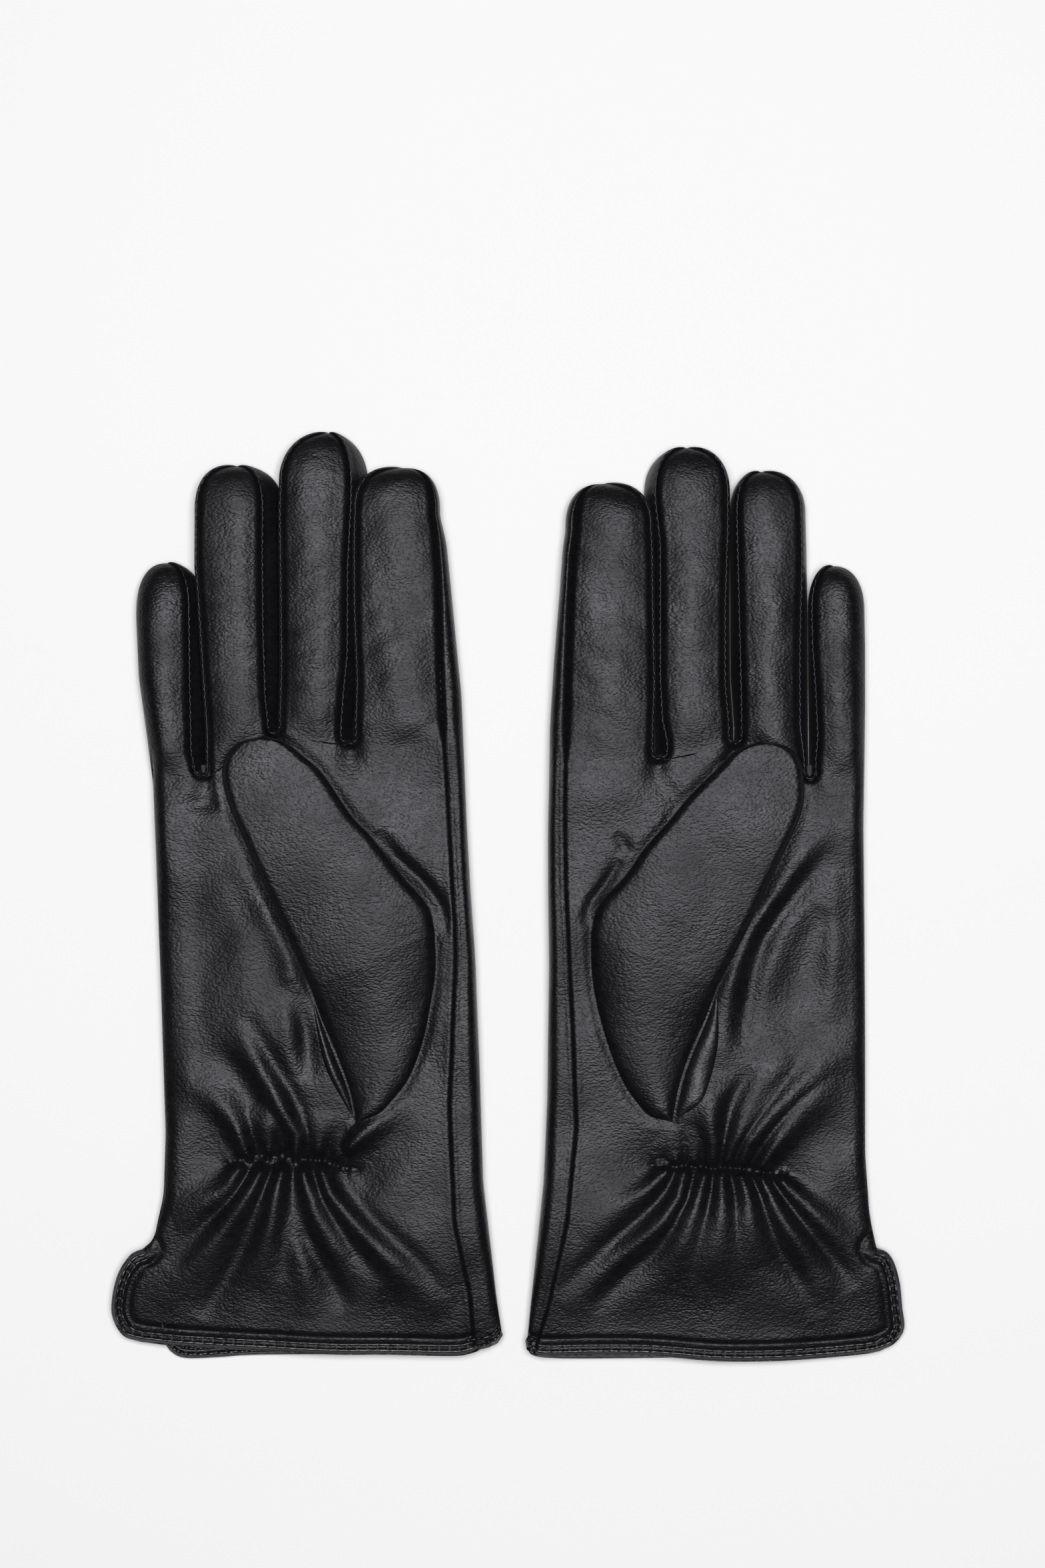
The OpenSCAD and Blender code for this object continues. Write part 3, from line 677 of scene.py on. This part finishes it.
class Finger:
    """The four seams of one finger, row by row from the border with the hand to the tip."""

    def __init__(self, hand, name):
        g, f = hand.g, hand.g[name]
        n = FINGERS.index(name)
        self.hand, self.name = hand, name
        self.seed = hand.seed + n
        self.low = g["crotches"][n - 1] if n > 0 else None
        self.high = g["crotches"][n] if n < 3 else None
        self.y_in = self.low[1] if self.low else self.high[1]
        self.y_out = self.high[1] if self.high else self.low[1] + 1.0
        self.tip = np.array(f["tip"], float)
        self.round = f["round"]
        self.square = f["square"]
        self.shoulder = self.tip[1] - self.round
        self.level = max(self.y_in, self.y_out) + 7
        self.turn = np.linspace(0, 1, TURN_ROWS, endpoint=False) ** 1.7
        self.straight = np.linspace(0, 1, int((self.shoulder - self.level) / ROW))
        self.angles = np.linspace(0, pi / 2, 26)[1:]
        self.body = ROOT_ROWS + TURN_ROWS + len(self.straight)
        self.flatten = np.r_[np.ones(self.body), np.cos(self.angles) ** 0.95]
        wrap_low = points_of(hand.wrap, (20.0, 30.0, 38.0))
        thumb_low = points_of(hand.thumb_side, (20.0, 30.0, 38.0))
        little_low = points_of(hand.little_side, (10.0, 20.0, 27.0))
        self.fi = self.rows(self.seam(f["inner"], self.low, wrap_low), self.y_in)
        self.fo = self.rows(self.seam(f["outer"], self.high, little_low), self.y_out)
        self.bi = self.rows(self.seam(f["back_inner"], self.low, thumb_low), self.y_in)
        self.bo = self.rows(self.seam(f.get("back_outer", f["outer"]), self.high, little_low), self.y_out)

    def seam(self, points, crotch, below):
        """x of one seam at any y. From a crotch it turns up round a quarter circle."""
        if crotch is None:
            return edge(below + points, 1.2)
        side = edge(points, 0.8)
        return lambda y: crotch[0] + (side(y) - crotch[0]) * rolled(y - crotch[1], CROTCH_ROUND)

    def rows(self, x_of, crotch):
        """One seam's points: up to its crotch, on until level with the others, then round the tip."""
        y = np.r_[crotch - BORDER_DROP * np.linspace(1, 0, ROOT_ROWS, endpoint=False),
                  crotch + (self.level - crotch) * self.turn,
                  self.level + (self.shoulder - self.level) * self.straight]
        end = np.array([float(x_of(y[-1])), y[-1]])
        share = np.cos(self.angles) ** (2 / self.square)
        rise = np.sin(self.angles) ** (2 / self.square)
        x = self.tip[0] + (end[0] - self.tip[0]) * share
        return np.vstack([np.column_stack([x_of(y), y]), np.column_stack([x, end[1] + self.round * rise])])

    def blend(self, y, crotch):
        """0 in the hand, 1 out on the finger."""
        return smooth((y - crotch + 1.0) / 9.0)

    def panel(self, inner, outer, u):
        """Points between two seams, their distance from each, and how far out on the finger they are."""
        flat = between(inner, outer, u)
        u = u[None]
        span = np.linalg.norm(outer - inner, axis=1)[:, None]
        out = self.blend(flat[..., 1], self.y_in * (1 - u) + self.y_out * u)
        return flat, u * span, (1 - u) * span, out

    def crest(self, x, y):
        return 0.3 * ripple(x, y, self.seed + 40, 21) + 0.1 * ripple(x, y, self.seed + 47, 8)

    def seam_relief(self, d, y):
        """Height a seam takes from the panel beside it: a narrow stitched groove and a soft shoulder."""
        pucker = 1 + 0.3 * np.cos(2 * pi * y / STITCH)
        return 0.22 * bell(d - 1.3, 0.7) - 0.5 * bell(d, 1.7) - 1.2 * bell(d, 0.38) * pucker

    def front(self):
        """The front panel: flat on top, raised beside its seams, dropping into them."""
        fold = self.name == "little"
        near = (0, 0.2, 0.42, 0.7, 1.05, 1.5, 2.1, 2.8)
        width = np.hypot(*(self.fo[90] - self.fi[90]))
        u = spacing(width, 0.75, near, eased(4.6, 11) if fold else near)
        flat, d_in, d_out, out = self.panel(self.fi, self.fo, u)
        x, y = flat[..., 0], flat[..., 1]
        z = FRONT_Z + 1.25 * np.sin(pi * u[None]) + self.crest(x, y)
        if self.low is None:
            z = z + self.seam_relief(d_in, y)
        if fold:
            z = folded(z, rolled(d_out, 4.4))
        z = self.hand.height(x, y) * (1 - out) + z * out
        for crotch, line in ((self.low, self.fi), (self.high, self.fo)):
            if crotch is not None:
                z = z + self.seam_relief(distance(x, y, line[ROOT_ROWS::3])[0], y)
        return np.dstack([flat, folded(z, self.flatten[:, None])])

    def seam_height(self, line, crotch):
        """Height of the top seam along one side, from its crotch on."""
        out = self.blend(line[:, 1], crotch)
        z = self.hand.height(line[:, 0], line[:, 1]) * (1 - out) + TOP_SEAM_Z * out
        return folded(z, self.flatten[ROOT_ROWS:])

    def fourchette(self, inner):
        """The side strip: a puckered bead along the top seam, then down to the back seam."""
        top, low = (self.fi, self.bi) if inner else (self.fo, self.bo)
        top, low, flatten = top[ROOT_ROWS:], low[ROOT_ROWS:], self.flatten[ROOT_ROWS:]
        z_top = self.seam_height(top, self.y_in if inner else self.y_out)
        z_low = folded(BACK_SEAM_Z, flatten)
        away = inward(top) if inner else -inward(top)
        pucker = 0.76 + 0.24 * np.cos(2 * pi * top[:, 1] / STITCH + 0.6)
        columns = []
        for share, push, lift, puckered in FORK_SECTION:
            swell = flatten ** 0.5 * (pucker if puckered else 1.0)
            at = top * (1 - share) + low * share + away * (push * swell)[:, None]
            columns.append(np.column_stack([at, z_top * (1 - share) + z_low * share + lift * swell]))
        return np.stack(columns, axis=1)

    def back(self):
        """The back panel. On the index finger it wraps round the side onto the front."""
        fold = self.name == "little"
        wraps = self.name == "index"
        plain = (0, 0.4, 0.9, 1.6, 2.6)
        u = spacing(20.0, 1.0, eased(4.6, 9) if wraps else plain, eased(4.6, 9) if fold else plain)
        flat, d_in, d_out, out = self.panel(self.bi, self.bo, u)
        floor = FLOOR_Z + 0.1 * ripple(flat[..., 0], flat[..., 1], self.seed + 60, 22)
        seams = bell(d_in, 1.4) * (not wraps) + bell(d_out, 1.4) * (not fold)
        z = BACK_SEAM_Z + (floor - BACK_SEAM_Z) * np.clip(1 - seams * out, 0, 1)
        roll = np.ones_like(z)
        if wraps:
            roll = rolled(d_in, 4.6)
        if fold:
            roll = rolled(d_out, 4.6)
        under = np.dstack([flat, folded(z, roll * self.flatten[:, None])])
        return np.concatenate([under[:, ::-1], self.lip()[:, 1:]], axis=1) if wraps else under

    def lip(self):
        """The index finger's back, from the fold along its side to the seam on its front."""
        u = lip_shares(0.62, 11)
        lip = between(self.bi, self.fi, u)
        x, y = lip[..., 0], lip[..., 1]
        width = np.linalg.norm(self.fi - self.bi, axis=1)[:, None]
        z = FRONT_Z + 0.2 + self.crest(x, y) + self.seam_relief((1 - u[None]) * width, y)
        z = folded(z, rolled(u[None] * width, np.minimum(3.6, width * 0.6 + 0.01)))
        out = self.blend(y, self.y_in)
        z = self.hand.height(x, y) * (1 - out) + z * out
        return np.dstack([lip, folded(z, self.flatten[:, None])])

    def lining(self):
        """The knitted inner finger: a soft flattened tube just inside the leather."""
        rings = []
        for i in np.r_[np.arange(0, self.body, 4), np.arange(self.body, len(self.flatten) - 2, 2)]:
            left = 0.7 * self.fi[i, 0] + 0.3 * self.bi[i, 0] if self.low else self.bi[i, 0] + 1.4
            right = 0.7 * self.fo[i, 0] + 0.3 * self.bo[i, 0]
            y = (self.fi[i, 1] + self.fo[i, 1]) / 2 - (1.4 if i >= self.body else 0)
            half = max((right - left) / 2 - 1.6, 0.3)
            rings.append(tube_ring(((left + right) / 2, y), (half, 0), MID_Z, 2.9 * self.flatten[i], 0.6))
        return np.stack(rings)


# ---- the thumb ----

class Thumb:
    """The thumb, lying across the palm and set into it at its base."""
    BASE_ROWS, FREE_ROWS = 96, 150
    MID, TOP, LOW = 12.3, 14.9, 10.2

    def __init__(self, hand):
        g = hand.g
        self.hand = hand
        self.inner = self.side_line(g["thumb_inner_base"], g["thumb_inner"])
        self.outer = self.side_line(g["thumb_outer_base"], g["thumb_outer"])
        self.v = np.r_[np.linspace(0, 1, self.BASE_ROWS), 1 + np.linspace(0, 1, self.FREE_ROWS)[1:]]
        # 0 where the thumb is set into the palm, 1 where it lies free on top of it
        self.free = smooth((self.v - 0.6) / 0.95)
        self.rise = 0.4 + 3.0 * np.clip(self.v / 1.05, 0, 1) ** 0.6
        tip = np.clip((self.v - 1.86) / 0.14, 0, 1)
        self.flatten = np.sqrt(np.clip(1 - tip ** 2.4, 0, 1)) ** 0.9
        self.edge_in = self.edge_height(self.inner)
        self.edge_out = self.edge_height(self.outer)

    def side_line(self, base, free):
        """One side's points, bunched where it leaves the palm and round the tip."""
        shares = np.linspace(0, 1, self.BASE_ROWS) ** 0.92
        shares[0] = 0.006
        tip = np.sin(np.linspace(0, pi / 2, self.FREE_ROWS)) * 0.35
        free_shares = np.linspace(0, 1, self.FREE_ROWS) * 0.65 + tip
        free_shares[-1] = 0.9985
        return np.vstack([along(dense(base), shares), along(dense(free), free_shares)[1:]])

    def edge_height(self, line):
        ground = self.hand.height(line[:, 0], line[:, 1]) - 0.9
        return ground * (1 - self.free) + self.MID * self.free

    def grid(self, reach):
        """Points across the thumb, their distance from its sides, its width and its sides' height."""
        span = np.linalg.norm(self.outer - self.inner, axis=1)[:, None]
        u = spacing(span.max(), 0.75, eased(reach, 12), eased(reach, 12))
        flat = between(self.inner, self.outer, u)
        d = np.minimum(u, 1 - u)[None] * span
        edges = self.edge_in[:, None] * (1 - u[None]) + self.edge_out[:, None] * u[None]
        return flat, d, span, edges, u[None]

    def front(self):
        """The palm side of the thumb, in one with its base."""
        flat, d, span, edges, u = self.grid(5.0)
        x, y = flat[..., 0], flat[..., 1]
        ground = self.hand.height(x, y)
        dome = np.sin(pi * np.clip(u, 0.02, 0.98)) ** 0.5
        free = self.free[:, None]
        top = ((PALM_Z + ground) / 2 + self.rise[:, None] * dome) * (1 - free) + self.TOP * free
        top = top + 0.5 * np.sin(pi * u) + 0.3 * ripple(x, y, self.hand.seed + 80, 30)
        reach = np.minimum(1.3 + 1.2 * smooth(self.v[:, None]), span * 0.5 + 0.01)
        return np.dstack([flat, edges + (top - edges) * self.flatten[:, None] * rolled(d, reach)])

    def back(self):
        """The side that lies on the palm, from the fold to the tip."""
        flat, d, span, edges, _ = self.grid(4.4)
        depth = (self.MID - self.LOW) * self.free[:, None] * self.flatten[:, None]
        z = edges - depth * rolled(d, np.minimum(4.4, span * 0.5 + 0.01))
        return np.dstack([flat, z])[int(self.BASE_ROWS * 0.8):, ::2]

    def lining(self):
        """The knitted inner thumb."""
        rings = []
        for i in np.arange(int(self.BASE_ROWS * 1.08), len(self.v) - 10, 4):
            half = (self.outer[i] - self.inner[i]) / 2
            length = np.linalg.norm(half)
            middle = (self.edge_in[i] + self.edge_out[i]) / 2
            half = half * max(length - 1.6, 0.3) / length
            tall = 2.0 * self.free[i] * self.flatten[i]
            rings.append(tube_ring((self.inner[i] + self.outer[i]) / 2, half, middle, tall, 0.55))
        return np.stack(rings)


def thumb_gusset(hand):
    """The lens of leather beside the thumb's base, rounded up between its two seams."""
    shares = np.linspace(0, 1, 90)
    u = np.linspace(0, 1, 16)
    inner, outer = (along(dense(hand.g[key]), shares) for key in ("thumb_outer_base", "gusset"))
    flat = between(inner, outer, u)
    ground = hand.height(flat[..., 0], flat[..., 1])
    ends = np.sin(pi * np.clip(shares, 0.02, 0.98))[:, None] ** 0.5
    return np.dstack([flat, ground - 0.7 + 1.7 * np.sin(pi * u)[None] ** 0.5 * ends])


# ---- hem ----

def binding_strip(curve, height, normal=None):
    """A folded strip along an edge: round at the edge, two raised lines and a channel between."""
    pucker = 0.92 + 0.16 * np.cos(2 * pi * run(curve) / HEM_PITCH)
    normal = inward(curve) if normal is None else normal
    columns = []
    for d, lift, share in BINDING_SECTION:
        at = curve + normal * d
        wave = 1 - share + share * pucker
        columns.append(np.column_stack([at, height(at[:, 0], at[:, 1]) + lift * wave]))
    return np.stack(columns, axis=1)


def front_hem_line(hand):
    return along(hand.hem_line, int(len(hand.hem_line) / 2.2))


def back_hem_height(x, y):
    return np.full(np.shape(x), BACK_HEM_Z)


def back_binding(hand):
    """One strip along the back hem, and the end that comes round the thumb's side to the wrap seam."""
    start = hand.g["corner"][0][0] - 0.4
    corner = along(dense(hand.g["corner"]), 40)

    def height(x, y):
        return folded(hand.height(x + 1.5, y + 1.0), rolled(x - start, 5.5)) - 0.2

    return [binding_strip(hand.back_hem_line, back_hem_height), binding_strip(corner, height, CORNER_LEAN)]


def tie(at, out, height):
    """One thread tie over the channel of a binding: a short tube dipping into it."""
    side = np.array([out[1], -out[0]])
    verts = []
    for d in np.linspace(TIE_START, TIE_END, TIE_RINGS):
        lift = 0.75 - 0.55 * sin(pi * (d - TIE_START) / (TIE_END - TIE_START))
        centre = at + out * d
        z = float(height(centre[0], centre[1])) + lift
        for a in np.linspace(0, 2 * pi, TIE_SIDES, endpoint=False):
            spot = centre + side * 0.22 * cos(a)
            verts.append((spot[0], spot[1], z + 0.16 * sin(a)))
    return verts


def hem_stitching(hand):
    """The ties along both bindings, one at each pitch of the stitching."""
    verts, faces = [], []
    for line, height in ((front_hem_line(hand), hand.inner_height), (hand.back_hem_line, back_hem_height)):
        far = run(line)
        normal = inward(line)
        for s in np.arange(HEM_PITCH / 2, far[-1] - 1, HEM_PITCH):
            at, out = (np.array([np.interp(s, far, c[:, k]) for k in (0, 1)]) for c in (line, normal))
            faces += grid_faces(TIE_RINGS, TIE_SIDES, True, len(verts))
            verts += tie(at, out, height)
    return verts, faces


# ---- inside ----

def hand_lining(hand):
    """The knitted bag inside the hand, following its relief a little below the leather."""
    turns = np.linspace(0, 1, 41)
    rings = []
    for y in np.linspace(-116.5, 36, 110):
        left = float(hand.thumb_side(y)) + 1.3
        right = float(hand.little_side(max(y, hand.vent_y + 6))) - 1.5
        x = left + (right - left) * (1 - np.cos(pi * turns)) / 2
        roll = rolled(np.minimum(x - left, right - x), 4.0)
        under = hand.height(np.clip(x, left + 4, right - 4), np.full(x.shape, y)) - 1.5
        top, low = folded(np.minimum(under, 8.0), roll), folded(1.2, roll)
        ring = np.column_stack([np.r_[x, x[-2:0:-1]], np.full(2 * len(x) - 2, y), np.r_[top, low[-2:0:-1]]])
        rings.append(ring)
    return np.stack(rings)


def wrist_elastic(hand):
    """The drawn-up elastic strip below the gathers."""
    line = along(dense(hand.g["gather"]), 150)
    normal = inward(line)
    far = np.linspace(0, 1, 150) * np.linalg.norm(line[-1] - line[0])
    columns = []
    for d in np.linspace(-2.6, 2.6, 9):
        at = line + normal * d
        z = hand.height(at[:, 0], at[:, 1]) - 0.75 + 0.22 * np.cos(2 * pi * far / 1.9)
        columns.append(np.column_stack([at, z]))
    return np.stack(columns, axis=1)


# ---- the gloves, piece by piece ----

def stand_for(piece):
    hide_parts(piece.name.removesuffix("_soft"))


def make_hand(hand):
    side = hand.side
    pieces = [
        sheet("palm_panel", side, palm_panel(hand), "leather"),
        sheet("back_panel", side, back_panel(hand), "leather"),
        sheet("front_binding", side, binding_strip(front_hem_line(hand), hand.inner_height),
              "edge_leather"),
        joined("back_binding", side, back_binding(hand), "edge_leather"),
        sheet("wrist_elastic", side, wrist_elastic(hand), "elastic"),
        sheet("hand_lining", side, hand_lining(hand), "lining", closed=True),
        make("hem_stitching", side, *hem_stitching(hand), "thread"),
    ]
    for piece in pieces:
        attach(piece, f"{side}_hand")
        stand_for(piece)


def make_finger(hand, name):
    side = hand.side
    finger = Finger(hand, name)
    pieces = [sheet(f"{name}_front", side, finger.front(), "leather"),
              sheet(f"{name}_back", side, finger.back(), "leather"),
              sheet(f"{name}_lining", side, finger.lining(), "lining", closed=True)]
    for inner, missing in ((True, "index"), (False, "little")):
        if name != missing:
            which = ("inner_" if inner else "outer_") if name in ("middle", "ring") else ""
            pieces.append(sheet(f"{name}_{which}fourchette", side, finger.fourchette(inner), "fork_leather"))
    for piece in pieces:
        stand_for(piece)
        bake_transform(piece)


def make_thumb(hand):
    side = hand.side
    thumb = Thumb(hand)
    gusset = sheet("thumb_gusset", side, thumb_gusset(hand), "fork_leather")
    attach(gusset, f"{side}_hand")
    stand_for(gusset)
    front = sheet("thumb_front", side, thumb.front(), "leather")
    stand_for(front)
    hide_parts(f"{side}_thumb_base")
    back = sheet("thumb_back", side, thumb.back(), "leather")
    lining = sheet("thumb_lining", side, thumb.lining(), "lining", closed=True)
    stand_for(back)
    stand_for(lining)
    for piece in (front, back, lining):
        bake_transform(piece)


for glove_side in ("right", "left"):
    glove = Hand(glove_side)
    make_hand(glove)
    for finger_name in FINGERS:
        make_finger(glove, finger_name)
    make_thumb(glove)


# ---- floor, light and camera ----

def make_floor(size):
    mesh = bpy.data.meshes.new("floor")
    corners = [(-size, -size, 0), (size, -size, 0), (size, size, 0), (-size, size, 0)]
    mesh.from_pydata(corners, [], [[0, 1, 2, 3]])
    floor = add_object("floor", mesh)
    m, _, shader, _ = new_material("pale_paper")
    set_up(shader, **{"Base Color": (0.682, 0.682, 0.682, 1), "Roughness": 0.9, "Specular IOR Level": 0.1})
    mesh.materials.append(m)


def add_light(name, place, aim, size, power):
    data = bpy.data.lights.new(name, "AREA")
    data.shape = "RECTANGLE"
    data.size, data.size_y = size
    data.energy = power
    lamp = add_object(name, data)
    lamp.location = place
    direction = Vector(aim) - Vector(place)
    lamp.rotation_euler = direction.to_track_quat("-Z", "Y").to_euler()


def make_camera(x, y, over, shown_height):
    """Straight down on the pair, so high that a picture of the given height fits it."""
    data = bpy.data.cameras.new("camera")
    data.lens, data.sensor_width = 85, 36
    camera = add_object("camera", data)
    camera.location = (x, y, over + shown_height * data.lens / data.sensor_width)
    camera.rotation_euler = (0, 0, 0)
    bpy.context.scene.camera = camera


def make_world(strength):
    world = bpy.data.worlds.new("studio")
    world.use_nodes = True
    world.node_tree.nodes["Background"].inputs["Color"].default_value = (1, 1, 1, 1)
    world.node_tree.nodes["Background"].inputs["Strength"].default_value = strength
    bpy.context.scene.world = world


make_floor(3.0)
add_light("overhead", (0.035, 0.17, 1.7), (0.0, 0.05, 0.0), (0.95, 0.82), 42)
make_world(0.045)
make_camera(0.00387, 0.03087, 0.010, 0.42336)
bpy.context.scene.view_settings.view_transform = "Standard"
